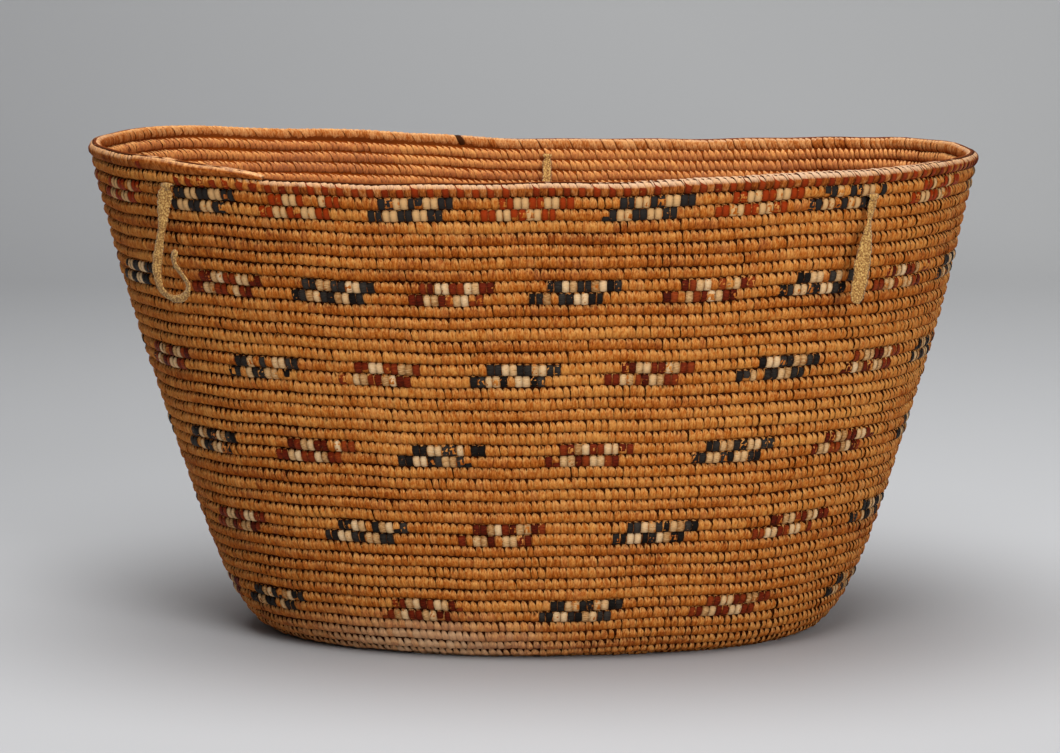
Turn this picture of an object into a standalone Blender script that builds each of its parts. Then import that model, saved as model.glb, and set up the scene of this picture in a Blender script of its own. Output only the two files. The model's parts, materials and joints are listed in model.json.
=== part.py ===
"""Open storage basket of coiled cedar root: a long oval base, a flared wall that is one
rising coil sewn course on course, a rim coil that tapers off at the front left, and three
short hide ties knotted through the wall. Metres, +Z up, +X along the length, front at -Y.
The origin is the middle of the flat underside."""
import math

import bpy
import numpy as np
from mathutils import Vector

# Base and wall
BASE_HALF_LENGTH = 0.1695
BASE_HALF_DEPTH = 0.107
COURSES = 43
COIL_PITCH = 0.00759
END_PITCH_SHARE = 1.028
COIL_THICKNESS = 0.0085
SEAM_THICKNESS = 0.0062
END_LEAN_TOP = 12.5
END_LEAN_LOW = 23.0
SIDE_LEAN_TOP = 16.0
SIDE_LEAN_LOW = 17.0
END_CORNER_COURSES = 2.0
SIDE_CORNER_COURSES = 2.0
BASE_ROUNDNESS = 2.0
RIM_ROUNDNESS = 2.6
SADDLE_SHAPE = 1.45
LEAN_CHANGE_SHAPE = 1.5
BASE_OFFSET_X = 0.005
LEFT_END_LIFT = 0.0015
RIM_WARP = 0.0015
BACK_DIP = 0.0043
BASE_BEVEL = 0.004

# Where the coil starts and ends, as an angle seen from above, and how its last stretch thins
TERMINAL_ANGLE = -130.0
TERMINAL_TAPER_ANGLE = 14.0
TERMINAL_HEIGHT_SHARE = 0.25

# The hide ties, and the awl holes that they pass through under the second course from the top
TIE_SEAM_COURSE = COURSES - 3
SHANK_RADIUS = 0.0016
AWL_CLEARANCE = 0.0003
KNOT_RADIUS = 0.0042
KNOT_LENGTH = 0.0076
KNOT_PROFILE = ((0.0, 0.45), (0.2, 0.85), (0.5, 1.0), (0.8, 0.85))
BEND_TURNS = (-35, 0, 35, 60)

# Each tie hangs by a route chosen by hand from its bend: metres along the wall to the right
# as seen from outside, away from the wall on the inside, and down.
TIES = (
    {
        "name": "tie_front_left",
        "angle": -144.3,
        "side": 1,
        "width": 0.0050,
        "route": (
            (-0.0015, 0.0, 0.0080),
            (-0.0037, 0.0, 0.0229),
            (-0.0078, 0.0, 0.0420),
            (-0.0084, 0.0, 0.0520),
            (-0.0048, 0.0, 0.0618),
            (0.0060, 0.0, 0.0668),
            (0.0158, 0.0, 0.0640),
            (0.0182, 0.0, 0.0575),
            (0.0125, 0.0, 0.0512),
            (0.0070, 0.0, 0.0460),
            (0.0060, 0.0, 0.0415),
            (0.0079, 0.0, 0.0373),
        ),
    },
    {
        "name": "tie_front_right",
        "angle": -40.2,
        "side": 1,
        "width": 0.0060,
        "route": (
            (-0.0021, 0.0, 0.0077),
            (-0.0049, 0.0, 0.0232),
            (-0.0070, 0.0, 0.0339),
            (-0.0098, 0.0, 0.0488),
            (-0.0127, 0.0, 0.0624),
        ),
    },
    {
        "name": "tie_back",
        "angle": 87.5,
        "side": -1,
        "width": 0.0060,
        "route": (
            (0.0004, 0.0022, 0.014),
            (0.0012, 0.0034, 0.028),
            (0.0004, 0.0046, 0.042),
            (-0.0010, 0.0058, 0.055),
        ),
    },
)

# How finely the pieces are drawn, and the gap between pieces that touch
GAP = 0.0003
STATIONS = 28
ANGLE_STEPS = 1440
PROFILE_STEPS = 8
LEAST_BEND = 0.6
TUBE_RESOLUTION = 2
ROUTE_STEPS = 24
ROUTE_SPACING_WIDTHS = 0.8
AWL_SIDES = 12
AWL_LENGTH_COILS = 2.4


def clear_scene():
    for item in list(bpy.data.objects):
        bpy.data.objects.remove(item, do_unlink=True)


def new_collection(name):
    collection = bpy.data.collections.new(name)
    bpy.context.scene.collection.children.link(collection)
    return collection


def new_material(name, colour, roughness):
    material = bpy.data.materials.new(name)
    material.use_nodes = True
    shader = material.node_tree.nodes["Principled BSDF"]
    shader.inputs["Base Color"].default_value = (*colour, 1.0)
    shader.inputs["Roughness"].default_value = roughness
    shader.inputs["Metallic"].default_value = 0.0
    return material


def wall_profile(lean_top, lean_low, corner_courses, pitch):
    """How far out and how high the wall's middle line is, course by course, where the wall
    leans out from upright by lean_low above the rounded corner and by lean_top at the rim."""
    courses = np.arange(-PROFILE_STEPS, (COURSES + 1) * PROFILE_STEPS + 1) / PROFILE_STEPS
    left = np.clip(1 - courses / COURSES, 0, 1)
    lean = lean_top + (lean_low - lean_top) * left**LEAN_CHANGE_SHAPE
    lean += (90 - lean_low) * np.exp(-np.maximum(courses, 0) / corner_courses)
    lean = np.radians(np.where(courses < 0, 90.0, np.minimum(lean, 90.0)))
    middle = (lean[1:] + lean[:-1]) / 2
    step = pitch / PROFILE_STEPS
    out = np.concatenate([[0.0], np.cumsum(np.sin(middle) * step)])
    up = np.concatenate([[0.0], np.cumsum(np.cos(middle) * step)])
    start = PROFILE_STEPS
    return courses, out - out[start], up - up[start]


COURSE_LIST, END_OUT, END_UP = wall_profile(
    END_LEAN_TOP, END_LEAN_LOW, END_CORNER_COURSES, COIL_PITCH * END_PITCH_SHARE
)
_, SIDE_OUT, SIDE_UP = wall_profile(SIDE_LEAN_TOP, SIDE_LEAN_LOW, SIDE_CORNER_COURSES, COIL_PITCH)


def wall_point(course, angle):
    """A point on the middle of the wall. A course is one turn of the coil, counted from the
    edge of the base, and the angle is in radians seen from above, 0 at the right end."""
    half_length = BASE_HALF_LENGTH + np.interp(course, COURSE_LIST, END_OUT)
    half_depth = BASE_HALF_DEPTH + np.interp(course, COURSE_LIST, SIDE_OUT)
    end_height = np.interp(course, COURSE_LIST, END_UP)
    side_height = np.interp(course, COURSE_LIST, SIDE_UP)
    share = max(course / COURSES, 0)
    power = BASE_ROUNDNESS + (RIM_ROUNDNESS - BASE_ROUNDNESS) * share
    along = abs(math.cos(angle) / half_length) ** power
    across = abs(math.sin(angle) / half_depth) ** power
    radius = (along + across) ** (-1 / power)
    x = radius * math.cos(angle)
    y = radius * math.sin(angle)
    end_share = x / half_length
    height = side_height + (end_height - side_height) * abs(end_share) ** SADDLE_SHAPE
    height -= LEFT_END_LIFT * share * end_share
    height -= RIM_WARP * share**2 * math.sin(2 * angle)
    height -= BACK_DIP * share**2 * max(math.sin(angle), 0) ** 2
    return Vector((x + BASE_OFFSET_X * (1 - share), y, height + COIL_THICKNESS / 2))


def wall_directions(course, angle):
    """The wall's outward and upward directions at a point."""
    small_turn = 0.002
    small_rise = 0.02
    ahead = wall_point(course, angle + small_turn) - wall_point(course, angle - small_turn)
    rise = wall_point(course + small_rise, angle) - wall_point(course - small_rise, angle)
    outward = ahead.cross(rise).normalized()
    return outward, rise.normalized()


def turn_share(angle):
    """How much of its turn the coil has made, from 0 to 1, at an angle after its start."""
    return (angle - math.radians(TERMINAL_ANGLE)) / (2 * math.pi)


def station_angles():
    """The angles of the coil's cross-sections for one turn, closer together where the plan
    bends more, with one at each hide tie. Every turn shares them, so courses match."""
    start = math.radians(TERMINAL_ANGLE)
    fine = np.linspace(start, start + 2 * math.pi, ANGLE_STEPS + 1)
    weight = np.zeros(len(fine) - 1)
    for course in (0, COURSES):
        plan = np.array([wall_point(course, a).xy for a in fine])
        run = np.diff(plan, axis=0)
        length = np.hypot(run[:, 0], run[:, 1])
        heading = np.unwrap(np.arctan2(run[:, 1], run[:, 0]))
        weight += np.sqrt(np.abs(np.gradient(heading)) * length) + length * LEAST_BEND
    total = np.concatenate([[0.0], np.cumsum(weight)])
    angles = np.interp(np.linspace(0, total[-1], STATIONS + 1), total, fine)
    for tie in TIES:
        angle = start + (math.radians(tie["angle"]) - start) % (2 * math.pi)
        angles[1 + int(np.argmin(np.abs(angles[1:-1] - angle)))] = angle
    return angles


def coil_section(course, angle, low, high):
    """Six points round the coil where it fills its course from low to high, as shares of the
    course above its middle line, starting at the top of the outer side and going down."""
    points = []
    for level, half, gap in (
        (high, SEAM_THICKNESS / 2, -GAP / 2),
        ((high + low) / 2, COIL_THICKNESS / 2, 0.0),
        (low, SEAM_THICKNESS / 2, GAP / 2),
    ):
        outward, upward = wall_directions(course + level, angle)
        middle = wall_point(course + level, angle) + upward * gap
        half = min(half, SEAM_THICKNESS / 2 + (high - low) * COIL_THICKNESS / 4)
        points.append((middle + outward * half, middle - outward * half))
    outer = [pair[0] for pair in points]
    inner = [pair[1] for pair in reversed(points)]
    return outer + inner


def loft(name, sections, material, collection):
    """A closed solid through like sections, with flat ends. Every quad is cut along the same
    diagonal, so that the faces of neighbouring courses stay parallel."""
    count = len(sections[0])
    points = [p for section in sections for p in section]
    faces = []
    for s in range(len(sections) - 1):
        here, there = s * count, (s + 1) * count
        for i in range(count):
            j = (i + 1) % count
            corners = (here + i, there + i, there + j, here + j)
            if i < count // 2:
                faces.append((corners[0], corners[2], corners[1]))
                faces.append((corners[0], corners[3], corners[2]))
            else:
                faces.append((corners[0], corners[3], corners[1]))
                faces.append((corners[1], corners[3], corners[2]))
    last = (len(sections) - 1) * count
    faces.append(tuple(reversed(range(count))))
    faces.append(tuple(last + i for i in range(count)))
    return mesh_object(name, points, faces, material, collection)


def mesh_object(name, points, faces, material, collection):
    mesh = bpy.data.meshes.new(name)
    mesh.from_pydata([tuple(p) for p in points], [], faces)
    mesh.update()
    mesh.materials.append(material)
    item = bpy.data.objects.new(name, mesh)
    collection.objects.link(item)
    return item


def turn_angles(angles, radius):
    """The stations of one turn, drawn back at both ends by half the gap."""
    drawn = angles.copy()
    drawn[0] += GAP / 2 / radius
    drawn[-1] -= GAP / 2 / radius
    return drawn


def make_turn(turn, name, angles, material, collection, tapered):
    """One turn of the coil. The last turn thins over the turn below before it ends."""
    end_radius = wall_point(turn, math.radians(TERMINAL_ANGLE)).xy.length
    sections = []
    for angle in turn_angles(angles, end_radius):
        share = turn_share(angle)
        high = 0.5
        if tapered:
            left = (1 - share) * 360 / TERMINAL_TAPER_ANGLE
            high = -0.5 + TERMINAL_HEIGHT_SHARE + (1 - TERMINAL_HEIGHT_SHARE) * min(left, 1)
        sections.append(coil_section(turn + share, angle, -0.5, high))
    return loft(name, sections, material, collection)


def make_base(angles, material, collection):
    """The oval base: flat below and above, with an edge that follows the first course."""
    radius = wall_point(0, math.radians(TERMINAL_ANGLE)).xy.length
    rings = [[], [], [], []]
    drawn = angles.copy()
    drawn[-1] -= GAP / radius
    for angle in drawn:
        course = turn_share(angle) - 0.5
        outward, upward = wall_directions(course, angle)
        edge = wall_point(course, angle) - upward * GAP / 2
        inset = Vector(edge.xy).normalized() * BASE_BEVEL
        rings[0].append(edge - outward * SEAM_THICKNESS / 2)
        rings[1].append(edge + outward * SEAM_THICKNESS / 2)
        rings[2].append(Vector((edge.x - inset.x, edge.y - inset.y, 0.0)))
        rings[3].append(Vector((edge.x - inset.x, edge.y - inset.y, COIL_THICKNESS)))
    count = len(drawn)
    points = [p for ring in rings for p in ring]
    faces = []
    for i in range(count):
        j = (i + 1) % count
        for here, there in ((0, 1), (1, 2), (3, 0)):
            faces.append((here * count + i, there * count + i, here * count + j))
            faces.append((there * count + i, there * count + j, here * count + j))
    faces.append(tuple(2 * count + i for i in reversed(range(count))))
    faces.append(tuple(3 * count + i for i in range(count)))
    return mesh_object("base_coil", points, faces, material, collection)


def smooth_route(points, spacing):
    """Points an even distance apart on a smooth curve through the route's own points."""
    route = [Vector(p) for p in points]
    padded = [route[0] * 2 - route[1], *route, route[-1] * 2 - route[-2]]
    fine = []
    for a, b, c, d in zip(padded, padded[1:], padded[2:], padded[3:]):
        for t in np.linspace(0, 1, ROUTE_STEPS, endpoint=False):
            curve = (b * 2) + (c - a) * t + (a * 2 - b * 5 + c * 4 - d) * t**2
            curve += (b * 3 - a - c * 3 + d) * t**3
            fine.append(curve / 2)
    fine.append(route[-1])
    run = [0.0]
    for p, q in zip(fine, fine[1:]):
        run.append(run[-1] + (q - p).length)
    count = max(round(run[-1] / spacing), 2)
    even = np.linspace(0, run[-1], count + 1)
    axes = [np.interp(even, run, [p[i] for p in fine]) for i in range(3)]
    return [Vector(p) for p in zip(*axes)]


def tube(name, points, radii, material, collection):
    """A tube along a polyline, with a radius at each point and flat ends."""
    curve = bpy.data.curves.new(name, "CURVE")
    curve.dimensions = "3D"
    curve.bevel_depth = max(radii)
    curve.bevel_resolution = TUBE_RESOLUTION
    curve.use_fill_caps = True
    spline = curve.splines.new("POLY")
    spline.points.add(len(points) - 1)
    for target, point, radius in zip(spline.points, points, radii):
        target.co = (*point, 1.0)
        target.radius = radius / max(radii)
    curve.materials.append(material)
    item = bpy.data.objects.new(name, curve)
    collection.objects.link(item)
    return item


def tie_places(tie):
    """Where a tie passes through the wall, which way it comes out, and where it bends down."""
    start = math.radians(TERMINAL_ANGLE)
    angle = start + (math.radians(tie["angle"]) - start) % (2 * math.pi)
    course = TIE_SEAM_COURSE + turn_share(angle) + 0.5
    outward, _ = wall_directions(course, angle)
    hole = wall_point(course, angle)
    way_out = outward * tie["side"]
    bend = hole + way_out * (COIL_THICKNESS / 2 + GAP + tie["width"] / 2)
    level_out = Vector((outward.x, outward.y, 0)).normalized()
    along = Vector((0, 0, 1)).cross(level_out)
    return hole, way_out, bend, level_out, along


def cut_awl_hole(tie, walls, collection):
    """A round hole through the seam of two courses, cut from both."""
    hole, way_out, _, _, _ = tie_places(tie)
    bpy.ops.mesh.primitive_cylinder_add(
        vertices=AWL_SIDES,
        radius=SHANK_RADIUS + AWL_CLEARANCE,
        depth=COIL_THICKNESS * AWL_LENGTH_COILS,
        location=hole,
    )
    cutter = bpy.context.object
    cutter.name = tie["name"] + "_awl_hole"
    cutter.rotation_euler = way_out.to_track_quat("Z", "Y").to_euler()
    for owner in list(cutter.users_collection):
        owner.objects.unlink(cutter)
    collection.objects.link(cutter)
    cutter.hide_render = True
    cutter.display_type = "WIRE"
    for wall in walls:
        cut = wall.modifiers.new("awl_hole", "BOOLEAN")
        cut.operation = "DIFFERENCE"
        cut.solver = "EXACT"
        cut.object = cutter


def make_tie_knot(tie, material, collection):
    """The knot on one side of the wall, the shank through it, and the rounded bend on the
    other side, from which the tie hangs. They are one piece of hide."""
    hole, way_out, bend, _, _ = tie_places(tie)
    near = COIL_THICKNESS / 2 + GAP
    far = near + KNOT_LENGTH
    profile = [(share * KNOT_LENGTH - far, width * KNOT_RADIUS) for share, width in KNOT_PROFILE]
    profile.append((-near, SHANK_RADIUS))
    profile.append((near, SHANK_RADIUS))
    centre = (bend - hole).length
    for turn in BEND_TURNS:
        reach = tie["width"] / 2 * math.sin(math.radians(turn))
        profile.append((centre + reach, tie["width"] / 2 * math.cos(math.radians(turn))))
    points = [hole + way_out * reach for reach, _ in profile]
    radii = [radius for _, radius in profile]
    return tube(tie["name"] + "_knot", points, radii, material, collection)


def make_tie(tie, material, collection):
    """The hanging stretch of a tie. Its origin is the bend, the axis that it lifts about. One
    that hangs inside follows the slope of the wall."""
    _, way_out, bend, level_out, along = tie_places(tie)
    slope = 0.0
    if tie["side"] < 0:
        slope = way_out.z / way_out.xy.length
    route = []
    for sideways, clear, drop in tie["route"]:
        inward = clear + slope * drop
        route.append(along * sideways - level_out * inward - Vector((0, 0, drop)))
    route.insert(0, route[0].normalized() * (tie["width"] / 2 + GAP))
    points = smooth_route(route, tie["width"] * ROUTE_SPACING_WIDTHS)
    radii = [tie["width"] / 2] * len(points)
    item = tube(tie["name"], points, radii, material, collection)
    item.location = bend
    return item


def build():
    clear_scene()
    parts = new_collection("coiled_storage_basket")
    cutters = new_collection("awl_hole_cutters")
    root_wood = (0.48, 0.21, 0.055)
    worn_root = (0.52, 0.29, 0.15)
    hide = (0.60, 0.42, 0.18)
    angles = station_angles()
    make_base(angles, new_material("base_coil", root_wood, 0.75), parts)
    turns = []
    for turn in range(COURSES):
        tapered = turn == COURSES - 1
        name = "rim_coil" if tapered else f"wall_coil_{turn + 1:02d}"
        material = new_material(name, worn_root if tapered else root_wood, 0.7)
        turns.append(make_turn(turn, name, angles, material, parts, tapered))
    for tie in TIES:
        holed = turns[TIE_SEAM_COURSE : TIE_SEAM_COURSE + 2]
        cut_awl_hole(tie, holed, cutters)
        make_tie_knot(tie, new_material(tie["name"] + "_knot", hide, 0.85), parts)
        make_tie(tie, new_material(tie["name"], hide, 0.85), parts)


build()
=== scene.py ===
"""Open storage basket of coiled cedar root: a bundle of root wound into a long oval base and a
flared wall, sewn over all the way with split root. Six bands of small checks are folded in
under the strands, and three short hide ties hang from the wall. Metres, +Z up, front at -Y."""
import json
import math

import bpy
import numpy as np
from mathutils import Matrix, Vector

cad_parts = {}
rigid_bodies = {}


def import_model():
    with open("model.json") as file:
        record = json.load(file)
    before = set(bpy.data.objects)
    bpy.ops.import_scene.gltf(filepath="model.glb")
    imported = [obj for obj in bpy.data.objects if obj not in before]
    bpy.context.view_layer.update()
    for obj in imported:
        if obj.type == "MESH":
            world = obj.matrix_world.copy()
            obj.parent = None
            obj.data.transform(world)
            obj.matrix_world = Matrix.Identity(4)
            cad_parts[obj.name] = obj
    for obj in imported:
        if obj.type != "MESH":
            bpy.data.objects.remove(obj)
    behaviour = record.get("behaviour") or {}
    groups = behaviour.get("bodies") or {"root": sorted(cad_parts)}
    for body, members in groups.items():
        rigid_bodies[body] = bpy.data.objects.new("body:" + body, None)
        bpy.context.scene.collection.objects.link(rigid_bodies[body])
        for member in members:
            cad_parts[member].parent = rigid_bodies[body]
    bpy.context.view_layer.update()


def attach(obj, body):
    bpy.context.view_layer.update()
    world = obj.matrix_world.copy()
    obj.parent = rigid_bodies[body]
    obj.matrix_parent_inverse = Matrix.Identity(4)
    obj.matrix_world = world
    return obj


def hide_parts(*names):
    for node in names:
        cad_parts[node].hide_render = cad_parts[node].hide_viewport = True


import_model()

scene = bpy.context.scene
MM = 0.001

# Camera
# It stands in front of the basket, a little above the rim, and looks slightly down.
PHOTO_WIDTH = 1060
CAMERA_AT = Vector((-0.0027, -2.4, 0.469))
CAMERA_TILT = math.radians(7.27)
FOCAL_PIXELS = 3724
SENSOR_MM = 36

camera = bpy.data.objects.new("camera", bpy.data.cameras.new("camera"))
scene.collection.objects.link(camera)
scene.camera = camera
camera.location = CAMERA_AT
camera.rotation_euler = (math.pi / 2 - CAMERA_TILT, 0, 0)
camera.data.sensor_width = SENSOR_MM
camera.data.lens = FOCAL_PIXELS * SENSOR_MM / PHOTO_WIDTH
scene.view_settings.view_transform = "Standard"

# The form of the coil
# A bundle of split root about 8 mm thick, wound anticlockwise: first flat into the oval base,
# then up the flared wall for 43 courses. A course counts from the edge of the base.
BASE_HALF_LENGTH = 0.1695
BASE_HALF_DEPTH = 0.107
BASE_COURSES = 14
COURSES = 43
COIL_PITCH = 0.00759
END_PITCH_SHARE = 1.028
COIL_THICKNESS = 0.0085
END_LEAN_TOP = 12.5
END_LEAN_LOW = 23.0
SIDE_LEAN_TOP = 16.0
SIDE_LEAN_LOW = 17.0
CORNER_COURSES = 2.0
LEAN_CHANGE_SHAPE = 1.5
BASE_ROUNDNESS = 2.0
RIM_ROUNDNESS = 2.6
SADDLE_SHAPE = 1.45
BASE_OFFSET_X = 0.005
LEFT_END_LIFT = 0.0015
RIM_WARP = 0.0015
BACK_DIP = 0.0043
TERMINAL_ANGLE = math.radians(-130)
PROFILE_STEPS = 8
SMALL_TURN = 0.002
SMALL_RISE = 0.02


def wall_profile(lean_top, lean_low, pitch):
    """How far out and how high the wall's middle is, course by course, flat in the base."""
    courses = np.arange(-BASE_COURSES * PROFILE_STEPS, (COURSES + 1) * PROFILE_STEPS + 1)
    courses = courses / PROFILE_STEPS
    left = np.clip(1 - courses / COURSES, 0, 1)
    lean = lean_top + (lean_low - lean_top) * left**LEAN_CHANGE_SHAPE
    lean += (90 - lean_low) * np.exp(-np.maximum(courses, 0) / CORNER_COURSES)
    lean = np.radians(np.where(courses < 0, 90.0, np.minimum(lean, 90.0)))
    middle = (lean[1:] + lean[:-1]) / 2
    step = pitch / PROFILE_STEPS
    out = np.concatenate([[0.0], np.cumsum(np.sin(middle) * step)])
    up = np.concatenate([[0.0], np.cumsum(np.cos(middle) * step)])
    edge = BASE_COURSES * PROFILE_STEPS
    return courses, out - out[edge], up - up[edge]


END_PITCH = COIL_PITCH * END_PITCH_SHARE
COURSE_LIST, END_OUT, END_UP = wall_profile(END_LEAN_TOP, END_LEAN_LOW, END_PITCH)
_, SIDE_OUT, SIDE_UP = wall_profile(SIDE_LEAN_TOP, SIDE_LEAN_LOW, COIL_PITCH)


def wall_points(course, angle):
    """Points on the middle of the wall, where angle is seen from above, 0 at the right end."""
    half_length = BASE_HALF_LENGTH + np.interp(course, COURSE_LIST, END_OUT)
    half_depth = BASE_HALF_DEPTH + np.interp(course, COURSE_LIST, SIDE_OUT)
    end_height = np.interp(course, COURSE_LIST, END_UP)
    side_height = np.interp(course, COURSE_LIST, SIDE_UP)
    share = np.maximum(course / COURSES, 0)
    power = BASE_ROUNDNESS + (RIM_ROUNDNESS - BASE_ROUNDNESS) * share
    along = np.abs(np.cos(angle) / half_length) ** power
    across = np.abs(np.sin(angle) / half_depth) ** power
    radius = (along + across) ** (-1 / power)
    x = radius * np.cos(angle)
    end_share = x / half_length
    height = side_height + (end_height - side_height) * np.abs(end_share) ** SADDLE_SHAPE
    height -= LEFT_END_LIFT * share * end_share + RIM_WARP * share**2 * np.sin(2 * angle)
    height -= BACK_DIP * share**2 * np.maximum(np.sin(angle), 0) ** 2
    x = x + BASE_OFFSET_X * (1 - share)
    return np.stack([x, radius * np.sin(angle), height + COIL_THICKNESS / 2], axis=-1)


def unit(vectors):
    return vectors / np.linalg.norm(vectors, axis=-1, keepdims=True)


def wall_frame(course, angle):
    """Points on the middle of the wall, with its outward and upward directions there."""
    ahead = wall_points(course, angle + SMALL_TURN) - wall_points(course, angle - SMALL_TURN)
    rise = wall_points(course + SMALL_RISE, angle) - wall_points(course - SMALL_RISE, angle)
    return wall_points(course, angle), unit(np.cross(ahead, rise)), unit(rise)


def coil_angle(course):
    return TERMINAL_ANGLE + 2 * math.pi * course


# Hide ties
# Short strips of tanned hide, pulled through an awl hole under the second course from the top,
# knotted on one side and left to hang on the other. Each is a flat, slightly twisted ribbon.
TIE_SEAM_COURSE = COURSES - 3
HIDE_THICKNESS = 1.5 * MM
RIBBON_SIDES = 10
RIBBON_STEP = 1.4 * MM
ROUTE_STEPS = 24
GAP = 0.3 * MM
KNOT_DISTANCE = 4.2 * MM
KNOT_SIZE = 1.25 * MM
KNOT_DEPTH = 1.75 * MM
KNOT_OPENING = 0.35
KNOT_STEPS = 44
RIBBON_END_SHARE = 0.55
RIBBON_END_STEPS = 2
RIBBON_RAGGEDNESS = 0.07
RIBBON_UNEVENNESS = 0.12 * MM
# Angles and twists are in degrees. The side is 1 outside and -1 inside. A route's points are to
# the side, inwards and down from the bend, in metres.
TIES = (
    {
        "name": "tie_front_left",
        "body": "front_left_tie",
        "angle": -144.3,
        "side": 1,
        "width": 0.0050,
        "widths_mm": (9.2, 8.8, 6.4, 4.8, 5.6, 6.4, 6.0, 5.2, 4.6, 5.0, 5.4, 4.2, 5.0, 6.6),
        "twists": (30, 30, 26, 20, 25, 20, 0, -20, -10, 10, 25, 15, 0),
        "route": (
            (-0.0015, 0.0, 0.0080), (-0.0037, 0.0, 0.0229), (-0.0078, 0.0, 0.0420),
            (-0.0084, 0.0, 0.0520), (-0.0048, 0.0, 0.0618), (0.0060, 0.0, 0.0668),
            (0.0158, 0.0, 0.0640), (0.0182, 0.0, 0.0575), (0.0125, 0.0, 0.0512),
            (0.0070, 0.0, 0.0460), (0.0060, 0.0, 0.0415), (0.0079, 0.0, 0.0373),
        ),
    },
    {
        "name": "tie_front_right",
        "body": "front_right_tie",
        "angle": -40.2,
        "side": 1,
        "width": 0.0060,
        "widths_mm": (7.0, 4.8, 3.6, 5.4, 7.4, 8.6, 10.0, 9.4, 9.0, 8.4, 7.4),
        "twists": (-20, -10, 20, -10, -22, -25, -20, -25, -25, -20),
        "route": (
            (-0.0021, 0.0, 0.0077), (-0.0049, 0.0, 0.0232), (-0.0070, 0.0, 0.0339),
            (-0.0098, 0.0, 0.0488), (-0.0127, 0.0, 0.0624),
        ),
    },
    {
        "name": "tie_back",
        "body": "back_tie",
        "angle": 87.5,
        "side": -1,
        "width": 0.0060,
        "widths_mm": (6.2, 6.0, 6.4, 6.8, 6.0, 5.4),
        "twists": (0, 5, 15, 10, 0, -10),
        "route": (
            (0.0004, 0.0022, 0.014), (0.0012, 0.0034, 0.028), (0.0004, 0.0046, 0.042),
            (-0.0010, 0.0058, 0.055),
        ),
    },
)


def add(tree, kind, inputs=(), **settings):
    """Add a node with its settings, and set or link each of the inputs given."""
    node = tree.nodes.new(kind)
    for name, value in settings.items():
        setattr(node, name, value)
    for key, value in dict(inputs).items():
        if isinstance(value, bpy.types.NodeSocket):
            tree.links.new(value, node.inputs[key])
        else:
            node.inputs[key].default_value = value
    return node


def linear(colour):
    """An sRGB hex colour as a linear one."""
    shares = [int(colour[i : i + 2], 16) / 255 for i in (1, 3, 5)]
    return (*[s / 12.92 if s <= 0.04045 else ((s + 0.055) / 1.055) ** 2.4 for s in shares], 1.0)


def new_material(name, roughness):
    """A material with its nodes and its Principled shader."""
    material = bpy.data.materials.new(name)
    material.use_nodes = True
    shader = material.node_tree.nodes["Principled BSDF"]
    shader.inputs["Roughness"].default_value = roughness
    return material, material.node_tree, shader


def set_ramp(ramp, *stops):
    """Colours at places along a colour ramp."""
    elements = ramp.color_ramp.elements
    while len(elements) < len(stops):
        elements.new(0.5)
    for element, (place, colour) in zip(elements, stops):
        element.position = place
        element.color = linear(colour)


def new_object(name, points, faces, material=None):
    mesh = bpy.data.meshes.new(name)
    mesh.from_pydata([tuple(p) for p in points], [], [tuple(f) for f in faces])
    mesh.update()
    if material:
        mesh.materials.append(material)
    item = bpy.data.objects.new(name, mesh)
    scene.collection.objects.link(item)
    return item


def tube_faces(rings, sides):
    """Faces along rings of points that follow each other, with a face on each end."""
    faces = []
    for here in range(0, (rings - 1) * sides, sides):
        for k in range(sides):
            j = (k + 1) % sides
            faces.append((here + j, here + k, here + sides + k, here + sides + j))
    faces.append(tuple(range(sides)))
    faces.append(tuple(reversed(range((rings - 1) * sides, rings * sides))))
    return faces


def smooth_sides(item):
    """Smooth shading, but for a tube's ends and a strand's back."""
    smooth = [len(face.vertices) == 4 for face in item.data.polygons]
    item.data.polygons.foreach_set("use_smooth", smooth)


def finish_surface(tree, shader, colour, layers, height, depth):
    """Lay each layer's colour over the first one by its amount, and raise the surface."""
    for amount, over in layers:
        layer = {0: amount, 6: colour, 7: linear(over)}
        colour = add(tree, "ShaderNodeMix", layer, data_type="RGBA").outputs[2]
    tree.links.new(colour, shader.inputs["Base Color"])
    bump = add(tree, "ShaderNodeBump", {"Height": height, "Distance": depth})
    tree.links.new(bump.outputs["Normal"], shader.inputs["Normal"])


def hide_material():
    """Soft tanned hide: pale straw, matt and mottled, with a raised nap. A real nap is finer,
    and this one is drawn about 0.8 mm coarse so that it shows."""
    material, tree, shader = new_material("tanned hide", 0.9)
    place = add(tree, "ShaderNodeTexCoord").outputs["Object"]
    mottle = add(tree, "ShaderNodeTexNoise", {"Vector": place, "Scale": 0.95 / MM, "Detail": 5})
    nap = add(tree, "ShaderNodeTexNoise", {"Vector": place, "Scale": 1.3 / MM, "Detail": 5})
    colours = add(tree, "ShaderNodeValToRGB", {"Fac": mottle.outputs["Fac"]})
    set_ramp(colours, (0.38, "#7a5018"), (0.50, "#a67536"), (0.62, "#d0a65e"))
    shader.inputs["Sheen Weight"].default_value = 0.2
    finish_surface(tree, shader, colours.outputs["Color"], (), nap.outputs["Fac"], 0.6 * MM)
    return material


def tie_places(tie):
    """Where a tie passes through the wall, its way out, its bend and its level directions."""
    angle = TERMINAL_ANGLE + (math.radians(tie["angle"]) - TERMINAL_ANGLE) % (2 * math.pi)
    course = TIE_SEAM_COURSE + (angle - TERMINAL_ANGLE) / (2 * math.pi) + 0.5
    hole, outward, _ = (Vector(v) for v in wall_frame(course, angle))
    way_out = outward * tie["side"]
    bend = hole + way_out * (COIL_THICKNESS / 2 + GAP + tie["width"] / 2)
    level_out = Vector((outward.x, outward.y, 0)).normalized()
    return hole, way_out, bend, level_out, Vector((0, 0, 1)).cross(level_out)


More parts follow.
